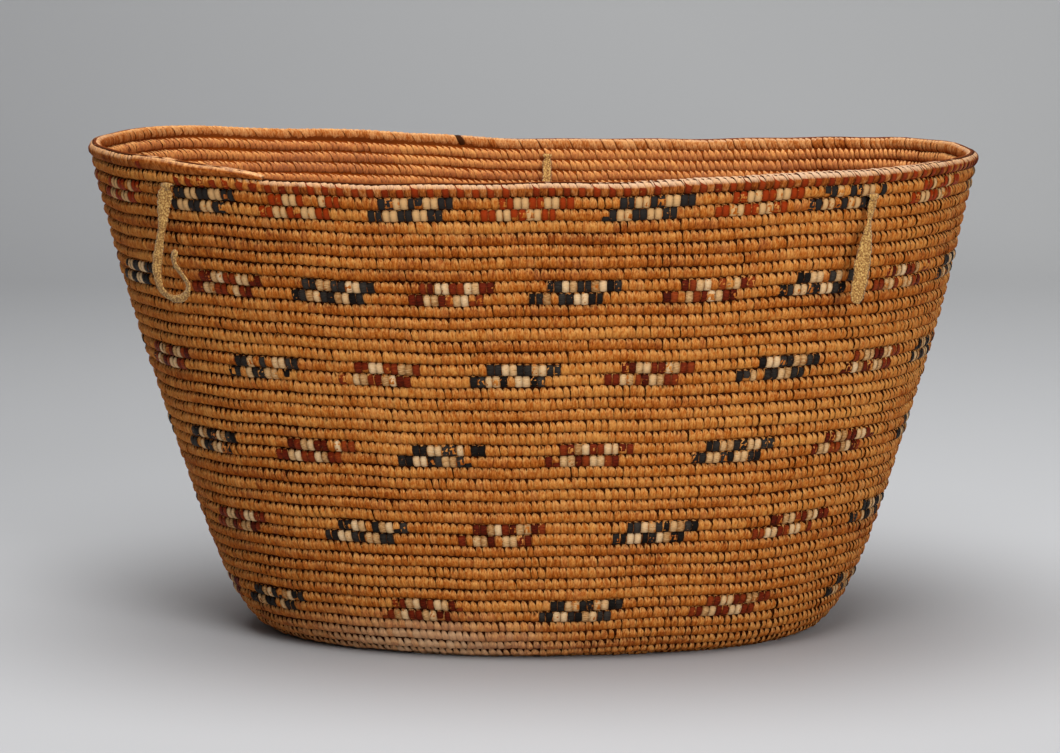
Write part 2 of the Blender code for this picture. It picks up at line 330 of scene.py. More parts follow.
def smooth_route(points, spacing):
    """Points an even distance apart on a smooth curve through the given points."""
    padded = [points[0] * 2 - points[1], *points, points[-1] * 2 - points[-2]]
    fine = []
    for a, b, c, d in zip(padded, padded[1:], padded[2:], padded[3:]):
        for t in np.linspace(0, 1, ROUTE_STEPS, endpoint=False):
            curve = (b * 2) + (c - a) * t + (a * 2 - b * 5 + c * 4 - d) * t**2
            fine.append((curve + (b * 3 - a - c * 3 + d) * t**3) / 2)
    fine = np.array([*fine, points[-1]])
    run = np.concatenate([[0], np.cumsum(np.linalg.norm(np.diff(fine, axis=0), axis=1))])
    even = np.linspace(0, run[-1], round(run[-1] / spacing) + 1)
    return np.stack([np.interp(even, run, fine[:, i]) for i in range(3)], axis=1), run[-1]


def ribbon(name, path, widths_mm, twists, facing, material, seed):
    """A flat strip along a path, of rounded section, with its width and twist all along."""
    share = np.linspace(0, 1, len(path))
    width = np.interp(share, np.linspace(0, 1, len(widths_mm)), widths_mm) * MM
    twist = np.radians(np.interp(share, np.linspace(0, 1, len(twists)), twists))
    ahead = unit(np.gradient(path, axis=0))
    rng = np.random.default_rng(seed)
    points = []
    for i, (middle, way) in enumerate(zip(path, ahead)):
        across = unit(np.cross(way, facing))
        face = np.cross(across, way)
        flat = across * math.cos(twist[i]) + face * math.sin(twist[i])
        thick = face * math.cos(twist[i]) - across * math.sin(twist[i])
        from_end = min(i, len(path) - 1 - i) / RIBBON_END_STEPS
        end = min(1.0, RIBBON_END_SHARE + (1 - RIBBON_END_SHARE) * from_end)
        ragged = 1 + RIBBON_RAGGEDNESS * rng.standard_normal(2)
        for turn in 2 * math.pi * np.arange(RIBBON_SIDES) / RIBBON_SIDES:
            reach = math.cos(turn) * width[i] / 2 * end * ragged[int(math.cos(turn) > 0)]
            rise = math.sin(turn) * HIDE_THICKNESS / 2 + RIBBON_UNEVENNESS * rng.standard_normal()
            points.append(middle + flat * reach + thick * rise)
    item = new_object(name, points, tube_faces(len(path), RIBBON_SIDES), material)
    smooth_sides(item)
    return item


def overhand_knot(middle, level_out, along):
    """The path of a small overhand knot, drawn tight."""
    turns = np.linspace(KNOT_OPENING, 2 * math.pi - KNOT_OPENING, KNOT_STEPS)
    across = (np.sin(turns) + 2 * np.sin(2 * turns)) * KNOT_SIZE
    up = (np.cos(turns) - 2 * np.cos(2 * turns)) * KNOT_SIZE
    deep = -np.sin(3 * turns) * KNOT_DEPTH
    path = np.outer(across, along) + np.outer(deep, level_out)
    path[:, 2] += up
    return path + np.array(middle)


hide = hide_material()
for seed, tie in enumerate(TIES):
    hole, way_out, bend, level_out, along = tie_places(tie)
    slope = way_out.z / way_out.xy.length if tie["side"] < 0 else 0.0
    route = [Vector((0, 0, 0))]
    for sideways, clear, drop in tie["route"]:
        inward = clear + slope * drop
        route.append(along * sideways - level_out * inward - Vector((0, 0, drop)))
    path, length = smooth_route([bend + p for p in route], RIBBON_STEP)
    facing = np.array(level_out * tie["side"])
    name = tie["name"]
    hanging = ribbon(name + "_hide", path, tie["widths_mm"], tie["twists"], facing, hide, seed)
    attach(hanging, tie["body"])
    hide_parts(name)
    near = COIL_THICKNESS / 2 + GAP
    knot_middle = hole - way_out * (near + KNOT_DISTANCE)
    up = Vector((0, 0, 1))
    shank = [
        knot_middle,
        hole,
        hole + way_out * near + up * 1.0 * MM,
        bend + up * 2.6 * MM,
        bend + up * 1.2 * MM + way_out * 0.5 * MM,
        bend - up * 1.5 * MM,
    ]
    shank_path, _ = smooth_route(shank, RIBBON_STEP)
    top_width = tie["widths_mm"][0]
    widths = (3.0, 2.6, 3.0, top_width * 0.8, top_width, top_width * 0.9)
    facing = np.array(up) + facing * 0.6
    fold = ribbon(name + "_fold", shank_path, widths, (0, 0), facing, hide, seed + 10)
    knot_path = overhand_knot(knot_middle, level_out, along)
    knot = ribbon(name + "_knot_hide", knot_path, (2.6, 3.0, 2.6), (0, 0), facing, hide, seed + 20)
    with bpy.context.temp_override(active_object=knot, selected_editable_objects=[knot, fold]):
        bpy.ops.object.join()
    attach(knot, "basket")
    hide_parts(name + "_knot")


# Sewing strands
# Split cedar root about 4.5 mm wide, wrapped once over the bundle and caught in the course
# below. Each shows as a plump lobe whose pointed top leans left into the dark of the seam.
STRAND_WIDTH = 4.45 * MM
STRAND_HEIGHT = 4.3 * MM
SECTION_SQUARENESS = 2.15
FIBRE_MM_PER_DEGREE = 0.085
# A row is degrees up round the bundle, the share of a strand's width there, and its shift to the
# right and its fall at the edges in mm.
OUTER_ROWS = (
    (-78, 0.92, 0.32, 0.75),
    (-58, 1.07, 0.28, 0.38),
    (-18, 1.17, 0.09, 0.24),
    (14, 1.12, -0.1, 0.36),
    (28, 0.98, -0.28, 0.52),
    (42, 0.76, -0.5, 0.74),
    (55, 0.5, -0.74, 0.94),
    (70, 0.2, -1.0, 1.1),
)
BROAD_ROWS = (
    (-78, 0.95, 0.25, 0.65),
    (-58, 1.1, 0.22, 0.34),
    (-17, 1.19, 0.07, 0.23),
    (16, 1.16, -0.08, 0.32),
    (30, 1.05, -0.2, 0.46),
    (44, 0.86, -0.4, 0.66),
    (57, 0.6, -0.62, 0.86),
    (71, 0.3, -0.88, 1.0),
)
INNER_ROWS = (
    (-78, 0.86, 1.7, 0.7),
    (-42, 1.06, 1.0, 0.36),
    (-8, 1.04, 0.2, 0.4),
    (12, 0.86, -0.6, 0.55),
    (28, 0.6, -1.4, 0.85),
    (46, 0.36, -2.3, 1.1),
    (66, 0.16, -3.2, 1.2),
)


def superellipse(turn, half_height, half_depth):
    """A place on the bundle's rounded section, up and out from its middle."""
    sine, cosine = math.sin(math.radians(turn)), math.cos(math.radians(turn))
    power = 2 / SECTION_SQUARENESS
    up = math.copysign(abs(sine) ** power, sine) * half_height
    return up, math.copysign(abs(cosine) ** power, cosine) * half_depth


def store(item, name, kind, values):
    """A value for each of the mesh's points, kept as an attribute."""
    field = "vector" if kind == "FLOAT_VECTOR" else "value"
    values = np.ascontiguousarray(values, np.int32 if kind == "INT" else np.float32).ravel()
    item.data.attributes.new(name, kind, "POINT").data.foreach_set(field, values)


def keep_shape(shapes, points, faces, strand, dark, rub):
    """Make a shape in its collection, with its fibre coordinates in mm, how much painted shade
    darkens it, and how far it is rubbed and painted with a highlight, from place to place."""
    item = new_object(f"{shapes.name}_{len(shapes.objects):02d}", points, faces)
    store(item, "strand", "FLOAT_VECTOR", strand)
    store(item, "dark", "FLOAT", dark)
    store(item, "rub", "FLOAT", rub)
    smooth_sides(item)
    item.data.set_sharp_from_angle(angle=math.radians(60))
    scene.collection.objects.unlink(item)
    shapes.objects.link(item)


def add_strand(shapes, rows, columns=5, lift=0.0, fall=2.2, cleft=0.0, seam=0.26, uneven=0.14):
    """One strand's lobe through its rows, closed at its back. Fall is how late its edges drop,
    cleft how deep in mm it is split, seam how much painted shade darkens its edges, and uneven how
    far in mm its surface strays. Painted shade darkens it at both seams, low down, under the
    course above and in its cleft, and where it faces up it is rubbed and painted with a highlight."""
    points, strand, dark, rub = [], [], [], []
    strays = shape_rng.normal(0, uneven * MM, (len(rows), columns, 2))
    for (turn, share, shift, drop), row_strays in zip(rows, strays):
        up, out = superellipse(turn, STRAND_HEIGHT, COIL_THICKNESS / 2)
        for u, (aside, proud) in zip(np.linspace(-1, 1, columns), row_strays):
            x = u * STRAND_WIDTH / 2 * share + shift * MM + aside
            gap = cleft * MM if u == 0 and turn > 20 else 0.0
            points.append((x, up, out + lift - drop * MM * abs(u) ** fall - gap + proud))
            strand.append((x / MM, turn * FIBRE_MM_PER_DEGREE, 0.0))
            # Painted shade: low on the strand, under the course above, at its edges and in its cleft.
            low = max(-turn - 30, 0) / 48
            high = max(turn - 68, 0) / 12
            painted_shade = 0.85 * low**1.5 + 0.6 * high + seam * abs(u) ** 3 + 0.7 * gap / MM
            dark.append(min(1.0, painted_shade))
            # Rubbed wear with a painted highlight where the strand faces up, most at its edges.
            rub.append(min(max(turn - 8, 0) / 30, 1) * (0.6 + 0.7 * abs(u)))
    faces = []
    for j in range(len(rows) - 1):
        for a in range(j * columns, (j + 1) * columns - 1):
            faces.append((a, a + 1, a + columns + 1, a + columns))
    last = (len(rows) - 1) * columns
    edge = list(range(columns)) + [j * columns + columns - 1 for j in range(1, len(rows) - 1)]
    edge += list(range(last + columns - 1, last - 1, -1))
    edge += [j * columns for j in range(len(rows) - 2, 0, -1)]
    faces.append(tuple(reversed(edge)))
    keep_shape(shapes, points, faces, strand, dark, rub)


wall_shapes = bpy.data.collections.new("wall_strands")
shape_rng = np.random.default_rng(3)
SLIM_ROWS = [(turn, share * 0.9, shift * 1.3, drop * 1.25) for turn, share, shift, drop in OUTER_ROWS]
for rows, copies in ((OUTER_ROWS, 3), (BROAD_ROWS, 2), (SLIM_ROWS, 2)):
    for _ in range(copies):
        add_strand(wall_shapes, rows)
add_strand(wall_shapes, BROAD_ROWS, cleft=1.3)
OUTER_CHANCES = (0.17, 0.16, 0.16, 0.14, 0.13, 0.12, 0.10, 0.02)
INNER_KINDS = range(len(OUTER_CHANCES), len(OUTER_CHANCES) + 3)
for _ in INNER_KINDS:
    add_strand(wall_shapes, INNER_ROWS, columns=4, seam=0.16)

# What the sewing reads on each stitch. Its second random draw has a seed of its own.
STITCH_KINDS = dict.fromkeys(("outward", "upward", "size"), "FLOAT_VECTOR") | {"shape": "INT"}
SECOND_SEED_STEP = 91


def sewing_tree():
    """Lays a strand on each point, turned to the wall and varied by hand, over the bundle."""
    tree = bpy.data.node_groups.new("sewing", "GeometryNodeTree")
    sockets = {"points": "Geometry", "shapes": "Collection", "bundle": "Object", "tilt": "Float"}
    sockets |= {"spread": "Float", "seed": "Int", "material": "Material"}
    for name, kind in sockets.items():
        tree.interface.new_socket(name, in_out="INPUT", socket_type="NodeSocket" + kind)
    tree.interface.new_socket("sewn", in_out="OUTPUT", socket_type="NodeSocketGeometry")
    given = add(tree, "NodeGroupInput").outputs
    read = {}
    for name, kind in STITCH_KINDS.items():
        node = add(tree, "GeometryNodeInputNamedAttribute", {"Name": name}, data_type=kind)
        read[name] = node.outputs["Attribute"]
    facing = {0: read["outward"], 1: read["upward"]}
    facing = add(tree, "FunctionNodeAxesToRotation", facing, primary_axis="Z", secondary_axis="Y")
    sway = {0: (-0.7, -0.3, -0.5), 1: (0.7, 1.1, 0.5), "Seed": given["seed"]}
    sway = add(tree, "FunctionNodeRandomValue", sway, data_type="FLOAT_VECTOR").outputs[0]
    tilt = {0: sway, "Scale": given["tilt"]}
    tilt = add(tree, "ShaderNodeVectorMath", tilt, operation="SCALE").outputs[0]
    turned = {"Rotation": facing.outputs[0], "Rotate By": tilt}
    turned = add(tree, "FunctionNodeRotateRotation", turned, rotation_space="LOCAL")
    other = {0: given["seed"], 1: SECOND_SEED_STEP}
    other = add(tree, "ShaderNodeMath", other, operation="ADD").outputs[0]
    spread = {0: (-1, -0.35, -0.5), 1: (1, 0.35, 0.5), "Seed": other}
    spread = add(tree, "FunctionNodeRandomValue", spread, data_type="FLOAT_VECTOR").outputs[0]
    spread = {0: spread, "Scale": given["spread"]}
    spread = add(tree, "ShaderNodeVectorMath", spread, operation="SCALE").outputs[0]
    spread = {0: spread, 1: (1, 1, 1)}
    spread = add(tree, "ShaderNodeVectorMath", spread, operation="ADD").outputs[0]
    size = {0: read["size"], 1: spread}
    size = add(tree, "ShaderNodeVectorMath", size, operation="MULTIPLY")
    shapes = {"Collection": given["shapes"], "Separate Children": True, "Reset Children": True}
    shapes = add(tree, "GeometryNodeCollectionInfo", shapes)
    sewn = {
        "Points": given["points"],
        "Instance": shapes.outputs[0],
        "Pick Instance": True,
        "Instance Index": read["shape"],
        "Rotation": turned.outputs[0],
        "Scale": size.outputs[0],
    }
    sewn = add(tree, "GeometryNodeInstanceOnPoints", sewn)
    chance = {2: 0.0, 3: 1.0, "Seed": other}
    chance = add(tree, "FunctionNodeRandomValue", chance, data_type="FLOAT")
    kept = {"Geometry": sewn.outputs[0], "Name": "chance", "Value": chance.outputs[1]}
    kept = add(tree, "GeometryNodeStoreNamedAttribute", kept, data_type="FLOAT", domain="INSTANCE")
    bundle = add(tree, "GeometryNodeObjectInfo", {"Object": given["bundle"]})
    whole = add(tree, "GeometryNodeJoinGeometry")
    tree.links.new(kept.outputs[0], whole.inputs[0])
    tree.links.new(bundle.outputs["Geometry"], whole.inputs[0])
    real = add(tree, "GeometryNodeRealizeInstances", {"Geometry": whole.outputs[0]})
    finish = {"Geometry": real.outputs[0], "Material": given["material"]}
    finish = add(tree, "GeometryNodeSetMaterial", finish)
    add(tree, "NodeGroupOutput", {"sewn": finish.outputs[0]})
    return tree


sewing = sewing_tree()


def sew(name, stitches, shapes, material, tilt, spread, seed, bundle=None):
    """Run the sewing on its points, keep the result as a plain mesh and clear the bundle away."""
    item = new_object(name, stitches["middle"], [])
    for key, kind in STITCH_KINDS.items():
        store(item, key, kind, stitches[key])
    for key in ("tone", "wear"):
        store(item, key, "FLOAT", stitches[key])
    inputs = {"shapes": shapes, "material": material, "tilt": tilt, "spread": spread, "seed": seed}
    if bundle:
        inputs["bundle"] = bundle
    change = item.modifiers.new("sewing", "NODES")
    change.node_group = sewing
    for socket in sewing.interface.items_tree:
        if socket.in_out == "INPUT" and socket.name in inputs:
            change[socket.identifier] = inputs[socket.name]
    bpy.context.view_layer.update()
    ready = item.evaluated_get(bpy.context.evaluated_depsgraph_get())
    mesh = bpy.data.meshes.new_from_object(ready)
    item.modifiers.clear()
    mesh.name = name
    item.data = mesh
    if bundle:
        bpy.data.objects.remove(bundle)
    for key in STITCH_KINDS:
        mesh.attributes.remove(mesh.attributes[key])
    return item


def strand_material(name, roughness, keys, spacing, scale, grit):
    """A material that reads what each strand carries, with noise along its fibres, per mm."""
    material, tree, shader = new_material(name, roughness)
    read = {}
    for key in keys:
        node = add(tree, "ShaderNodeAttribute", attribute_name=key)
        read[key] = node.outputs["Vector" if key == "strand" else "Fac"]
    shift = {0: read["chance"], 1: spacing}
    shift = add(tree, "ShaderNodeMath", shift, operation="MULTIPLY").outputs[0]
    fine = add(tree, "ShaderNodeMapping", {"Vector": read["strand"], "Scale": scale}).outputs[0]
    noise = {"Vector": fine, "W": shift, "Scale": 1.0, "Detail": 3, "Roughness": grit}
    noise = add(tree, "ShaderNodeTexNoise", noise, noise_dimensions="4D").outputs["Fac"]
    return material, tree, shader, read, shift, noise


def root_material(name, dark, middle, light, gloss, worn, worn_sides):
    """Cedar root, split, scraped and sewn damp: satin, with fibres along each strand, a tone for
    each length of root, rubbed ridges with a painted highlight, and painted shade in the seams.
    Wear shows most on the ridges, and on the sides as worn_sides says. Real fibres are finer, and
    these are drawn about 1 mm wide so that they show."""
    keys = ("strand", "chance", "tone", "dark", "rub", "wear")
    found = strand_material(name, 0.5, keys, 57.0, (0.95, 0.3, 1.0), 0.65)
    material, tree, shader, read, _, fibre = found
    place = add(tree, "ShaderNodeTexCoord").outputs["Object"]
    patch = add(tree, "ShaderNodeTexNoise", {"Vector": place, "Scale": 16, "Detail": 4})
    mix = 0.0
    for value, share in ((read["tone"], 0.32), (fibre, 0.9), (patch.outputs["Fac"], 0.3)):
        mix = {0: value, 1: share, 2: mix}
        mix = add(tree, "ShaderNodeMath", mix, operation="MULTIPLY_ADD").outputs[0]
    ramp = add(tree, "ShaderNodeValToRGB", {"Fac": mix})
    set_ramp(ramp, (0.56, dark), (0.74, middle), (0.97, light))
    streak = {"Value": fibre, "From Min": 0.38, "From Max": 0.66}
    streak = add(tree, "ShaderNodeMapRange", streak).outputs[0]
    # Streaks of rubbed wear and painted highlight where the strand is rubbed and faces up.
    rubbed = add(tree, "ShaderNodeMath", {0: read["rub"], 1: streak}, operation="MULTIPLY")
    ridge = {0: read["rub"], 1: 1 - worn_sides, 2: worn_sides}
    ridge = add(tree, "ShaderNodeMath", ridge, operation="MULTIPLY_ADD").outputs[0]
    wear = add(tree, "ShaderNodeMath", {0: read["wear"], 1: ridge}, operation="MULTIPLY")
    # Layers: rubbed wear with a painted highlight, wear, and near-black painted shade.
    layers = ((rubbed.outputs[0], "#f4b46a"), (wear.outputs[0], worn), (read["dark"], "#2a0e02"))
    finish_surface(tree, shader, ramp.outputs["Color"], layers, fibre, 0.9 * MM)
    matt = {"Value": read["rub"], "To Min": 0.66, "To Max": gloss}
    matt = add(tree, "ShaderNodeMapRange", matt)
    tree.links.new(matt.outputs[0], shader.inputs["Roughness"])
    shader.inputs["Specular IOR Level"].default_value = 0.03
    return material


cedar = root_material("split cedar root", "#82360a", "#b45e1a", "#d68e42", 0.45, "#e2b88e", 0.7)

# Bundle and stitches
# The bundle of fine roots inside the coil shows only in the notches between strands, painted
# near black as the shade there. The stitches follow one another all the way round, at one
# strand's width.
CORE_HALF_THICKNESS = 3.0 * MM
CORE_HALF_HEIGHT = 4.7 * MM
CORE_SIDES = 8
CORE_TURNS = 2 * math.pi * (np.arange(CORE_SIDES) + 0.5) / CORE_SIDES
CORE_STATIONS = 120
FINE_STEPS = 720


def hand_waves(points, course, outward, upward):
    """How far the hand-wound coil strays from its even course: slow waves that neighbouring
    courses share, and each course's own."""
    x, y, z = points[:, 0], points[:, 1], points[:, 2]
    up = 0.50 * np.sin(38 * x + 24 * y + 21 * z + 1) + 0.30 * np.sin(87 * x - 60 * y - 47 * z + 2)
    up += 0.16 * np.sin(2 * math.pi * 5.37 * course) + 0.10 * np.sin(2 * math.pi * 13.3 * course)
    out = 0.45 * np.sin(27 * x + 31 * y + 40 * z) + 0.20 * np.sin(2 * math.pi * 7.61 * course)
    return (outward * out[:, None] + upward * up[:, None]) * MM


def coil_frame(course, thin=1.0):
    """The coil's own middle, with its outward and upward directions. Where the coil is thin, it
    stays down on the course below."""
    middle, outward, upward = wall_frame(course, coil_angle(course))
    middle = middle + hand_waves(middle, course, outward, upward)
    sunk = np.broadcast_to((1 - thin) * COIL_PITCH / 2, len(course))
    return middle - upward * sunk[:, None], outward, upward


def coil_places(first, last, width):
    """Courses one strand's width apart along the coil, from one course to another."""
    fine = np.linspace(first, last, round((last - first) * FINE_STEPS) + 1)
    middle = wall_points(fine, coil_angle(fine))
    run = np.concatenate([[0], np.cumsum(np.linalg.norm(np.diff(middle, axis=0), axis=1))])
    count = round(run[-1] / width)
    return np.interp((np.arange(count) + 0.5) * run[-1] / count, run, fine)


def root_tones(count, rng):
    """Each length of root gives eight to thirty-five stitches of its own tone."""
    lengths = rng.integers(8, 36, count // 8)
    tones = np.repeat(rng.normal(0.5, 0.13, len(lengths)), lengths)[:count]
    return np.clip(tones + rng.normal(0, 0.09, count), 0, 1)


def make_bundle(first, last, thin=None):
    """The bundle under the strands from one course to another, with closed ends, painted dark as shade.
    """
    course = np.linspace(first, last, round((last - first) * CORE_STATIONS) + 1)
    thin = np.ones(len(course)) if thin is None else thin(course)
    middle, outward, upward = coil_frame(course, thin)
    out = outward[:, None, :] * (np.cos(CORE_TURNS) * CORE_HALF_THICKNESS)[None, :, None]
    up = upward[:, None, :] * (np.sin(CORE_TURNS) * CORE_HALF_HEIGHT)[None, :, None]
    points = (middle[:, None, :] + (out + up) * thin[:, None, None]).reshape(-1, 3)
    item = new_object("bundle", points, tube_faces(len(course), CORE_SIDES))
    # Painted shade: near black on the outer side, where it shows in the notches, lighter inside.
    dark = np.where(np.cos(CORE_TURNS) > 0, 0.95, 0.25)
    store(item, "dark", "FLOAT", np.tile(dark, len(course)))
    scene.collection.objects.unlink(item)
    return item


# The wall is palest half way up, and a little paler inside than outside.
PALE_COURSE = 23
PALE_COURSES = 8
PALE_GAIN = 0.22
INNER_GAIN = 0.1

rng = np.random.default_rng(7)
course = coil_places(0, COURSES - 1, STRAND_WIDTH)
middle, outward, upward = coil_frame(course)
turn = np.floor(course).astype(int)
count = len(course)
outer_shape = rng.choice(len(OUTER_CHANCES), count, p=OUTER_CHANCES)
inner_shape = rng.choice(INNER_KINDS, count)
pale = PALE_GAIN * np.exp(-(((course - PALE_COURSE) / PALE_COURSES) ** 2))
outer_tone = np.clip(root_tones(count, rng) + pale, 0, 1)
inner_tone = np.clip(root_tones(count, rng) + INNER_GAIN, 0, 1)

# Dust and water have left a pale bloom low on the front, towards the left.
BLOOM_MIDDLE_X = -0.068
BLOOM_HALF_LENGTH = 0.062
BLOOM_COURSES = 5.5
bloom = np.exp(-(((middle[:, 0] - BLOOM_MIDDLE_X) / BLOOM_HALF_LENGTH) ** 2))
bloom *= np.clip((BLOOM_COURSES - course) / 3, 0, 1) * (middle[:, 1] < 0)
outer_wear = bloom * rng.uniform(0.6, 1.2, count) + rng.normal(0, 0.025, count)
outer_wear = np.clip(outer_wear, 0, 1)

# Wall
# Forty-two turns of the coil, each sewn to the one below. Seen from inside, the same strands
# show as slimmer slanted ridges.
WALL_TILT = math.radians(7)
WALL_SPREAD = 0.16
HEIGHT_WAVER = 0.05
INNER_WEAR = 0.2

for number in range(COURSES - 1):
    here = np.nonzero(turn == number)[0]
    both = np.concatenate([here, here])
    inside = np.arange(len(both)) >= len(here)
    size = np.ones((len(both), 3))
    size[:, 1] += HEIGHT_WAVER * np.sin(course[both] * 23 + np.sin(course[both] * 61))
    bundle = make_bundle(number, number + 1)
    stitches = {
        "middle": middle[both],
        "outward": outward[both] * np.where(inside, -1.0, 1.0)[:, None],
        "upward": upward[both],
        "size": size,
        "shape": np.where(inside, inner_shape[both], outer_shape[both]),
        "tone": np.where(inside, inner_tone[both], outer_tone[both]),
        "wear": np.where(inside, INNER_WEAR, outer_wear[both]),
    }
    name = f"wall_coil_{number + 1:02d}"
    sewn_name = name + "_sewn"
    piece = sew(sewn_name, stitches, wall_shapes, cedar, WALL_TILT, WALL_SPREAD, number, bundle)
    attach(piece, "basket")
    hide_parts(name)

# Base
# The coil starts as a straight bundle along the middle and is wound round it fourteen times.
# The photograph doesn't show it, so it follows how such baskets are made.
BASE_STRAND_WIDTH = 5.0 * MM
BASE_START = -13.6
BASE_SPREAD = 0.1
BASE_SEED = 70

base_course = coil_places(BASE_START, 0, BASE_STRAND_WIDTH)
base_middle, base_outward, base_upward = coil_frame(base_course)

# The heart of the base is a straight length of bundle, which the first turn goes round.
HEART_HALF_LENGTH = 0.052
HEART_Y = -0.002
HEART_BUNDLE_Y = 0.001
HEART_BUNDLE_HALF_WIDTH = 8 * MM
HEART_BUNDLE_ENDS = (-0.054, 0.069)
heart_x = np.arange(-HEART_HALF_LENGTH, HEART_HALF_LENGTH, BASE_STRAND_WIDTH) + BASE_OFFSET_X
heart_middle = np.stack(np.broadcast_arrays(heart_x, HEART_Y, COIL_THICKNESS / 2), axis=1)
base_middle = np.concatenate([heart_middle, base_middle])
base_outward = np.concatenate([np.tile((0.0, 0.0, -1.0), (len(heart_x), 1)), base_outward])
base_upward = np.concatenate([np.tile((0.0, 1.0, 0.0), (len(heart_x), 1)), base_upward])
count = len(base_middle)

heart_points = []
for x in HEART_BUNDLE_ENDS:
    for around in CORE_TURNS:
        y = HEART_BUNDLE_Y + math.cos(around) * HEART_BUNDLE_HALF_WIDTH
        z = COIL_THICKNESS / 2 + math.sin(around) * CORE_HALF_THICKNESS
        heart_points.append((x, y, z))
heart = new_object("base_heart", heart_points, tube_faces(2, CORE_SIDES), cedar)
# Painted darker as shade, like the bundle.
store(heart, "dark", "FLOAT", np.full(len(heart_points), 0.4))
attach(heart, "basket")
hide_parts("base_coil")

for name, side, tone_shift, wear in (
    ("base_coil_under", 1.0, -0.1, 0.25),
    ("base_coil_floor", -1.0, 0.1, 0.2),
):
    bundle = make_bundle(BASE_START, 0) if side > 0 else None
    stitches = {
        "middle": base_middle,
        "outward": base_outward * side,
        "upward": base_upward,
        "size": np.tile((BASE_STRAND_WIDTH / STRAND_WIDTH, 1.0, 0.98), (count, 1)),
        "shape": rng.choice(INNER_KINDS, count),
        "tone": np.clip(root_tones(count, rng) + tone_shift, 0, 1),
        "wear": np.full(count, wear),
    }
    piece = sew(name, stitches, wall_shapes, cedar, WALL_TILT, BASE_SPREAD, BASE_SEED, bundle)
    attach(piece, "basket")
    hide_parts("base_coil")

# Rim
# The last turn of the coil. Its strands wrap right over the top, tight and slanted, rubbed
# smooth and pinkish by hands, and it thins out over the turn below before it ends.
TAPER_TURN = 14 / 360
TAPER_END_SHARE = 0.25
SMOOTH_START = COURSES - 19 / 360
RIM_START = COURSES - 1 - 0.01
RIM_LOW_TURN = -72
RIM_STEPS = 15
RIM_SLANT = 2.2
RIM_SHOULDER = 15
RIM_SECTION = ((1.0, 1.0), (0.64, 0.12), (-0.64, 0.12), (-1.0, 1.0))
RIM_INSET = 1.6
RIM_SPREAD = 0.06
RIM_SEED = 80
TERMINAL_STATIONS = 60
TERMINAL_SIDES = 20
# How far hands have rubbed the rim, at places along it from left to right.
HANDLED_AT = (-0.22, -0.08, 0.18, 0.27)
HANDLED = (0.35, 0.75, 0.9, 0.6)
# One strand at the back is stained black, and one by the left end is chipped down to the dark.
STAINED_ANGLE = 104.5
CHIPPED_ANGLE = -148.3


def add_wrap(shapes, fall, slant, width, stain=0.0):
    """A strand that wraps over the rim from the seam outside to the seam inside, slanted above
    the shoulder. Painted shade darkens it towards both seams and along its edges; a stain is its own."""
    points, strand, dark, rub = [], [], [], []
    for turn in np.linspace(RIM_LOW_TURN, 180 - RIM_LOW_TURN, RIM_STEPS):
        up, out = superellipse(turn, STRAND_HEIGHT, COIL_THICKNESS / 2)
        shift = -slant * max(turn - RIM_SHOULDER, 0) / (90 - RIM_SHOULDER)
        length = math.hypot(up, out)
        drops = [(u, share * fall) for u, share in RIM_SECTION]
        for u, drop in (*drops, (0, RIM_INSET)):
            scale = 1 - drop * MM / length * (1.0 if turn < RIM_SHOULDER else 0.6)
            x = u * STRAND_WIDTH / 2 * width + shift * MM
            points.append((x, up * scale, out * scale))
            strand.append((x / MM, turn * FIBRE_MM_PER_DEGREE, 0.0))
            # Painted shade towards both seams and along the wrap's edges, most below the shoulder.
            edge = max(abs(turn - 90) - 130, 0) / 32
            line = (0.5 if turn < RIM_SHOULDER else 0.14) * (abs(u) == 1)
            dark.append(max(min(1.0, 0.7 * edge + line), stain))
            # Rubbed wear with a painted highlight over the top of the rim.
            rub.append(min(max(min(turn - 22, 156 - turn) / 28, 0), 1))
    keep_shape(shapes, points, tube_faces(RIM_STEPS, 5), strand, dark, rub)


def rim_thinness(course):
    left = np.clip((COURSES - course) / TAPER_TURN, 0, 1)
    return TAPER_END_SHARE + (1 - TAPER_END_SHARE) * left**0.6


rim_shapes = bpy.data.collections.new("rim_strands")
add_wrap(rim_shapes, fall=0.6, slant=RIM_SLANT, width=1.08)
add_wrap(rim_shapes, fall=0.8, slant=RIM_SLANT * 1.2, width=1.04)
add_wrap(rim_shapes, fall=0.7, slant=RIM_SLANT, width=0.9, stain=0.96)
add_wrap(rim_shapes, fall=1.0, slant=RIM_SLANT, width=0.55, stain=0.5)
worn_cedar = root_material("rubbed cedar root", "#70300c", "#a65a22", "#cc9058", 0.40, "#ceaa8a", 0.0)

rim_course = coil_places(RIM_START, COURSES, STRAND_WIDTH)
rim_middle, rim_outward, rim_upward = coil_frame(rim_course, rim_thinness(rim_course))
count = len(rim_course)
shape = rng.choice(2, count)
for kind, place in ((2, STAINED_ANGLE), (3, CHIPPED_ANGLE)):
    shape[np.argmin(np.abs(np.degrees(coil_angle(rim_course)) % 360 - place % 360))] = kind
behind = np.clip(rim_middle[:, 1] / 0.1, 0, 1)
handled = np.interp(rim_middle[:, 0], HANDLED_AT, HANDLED)
bundle = make_bundle(RIM_START, COURSES, rim_thinness)
rim_tone = np.clip(rng.normal(0.34, 0.15, count) + 0.4 * behind, 0, 1)
rim_wear = np.clip(rng.normal(0, 0.12, count) + handled - 0.3 * behind, 0, 1)
sewn = np.nonzero(rim_course <= SMOOTH_START)[0]
stitches = {
    "middle": rim_middle[sewn],
    "outward": rim_outward[sewn],
    "upward": rim_upward[sewn],
    "size": np.ones((len(sewn), 3)),
    "shape": shape[sewn],
    "tone": rim_tone[sewn],
    "wear": rim_wear[sewn],
}
tilt = math.radians(3)
rim = sew("rim_coil_sewn", stitches, rim_shapes, worn_cedar, tilt, RIM_SPREAD, RIM_SEED, bundle)


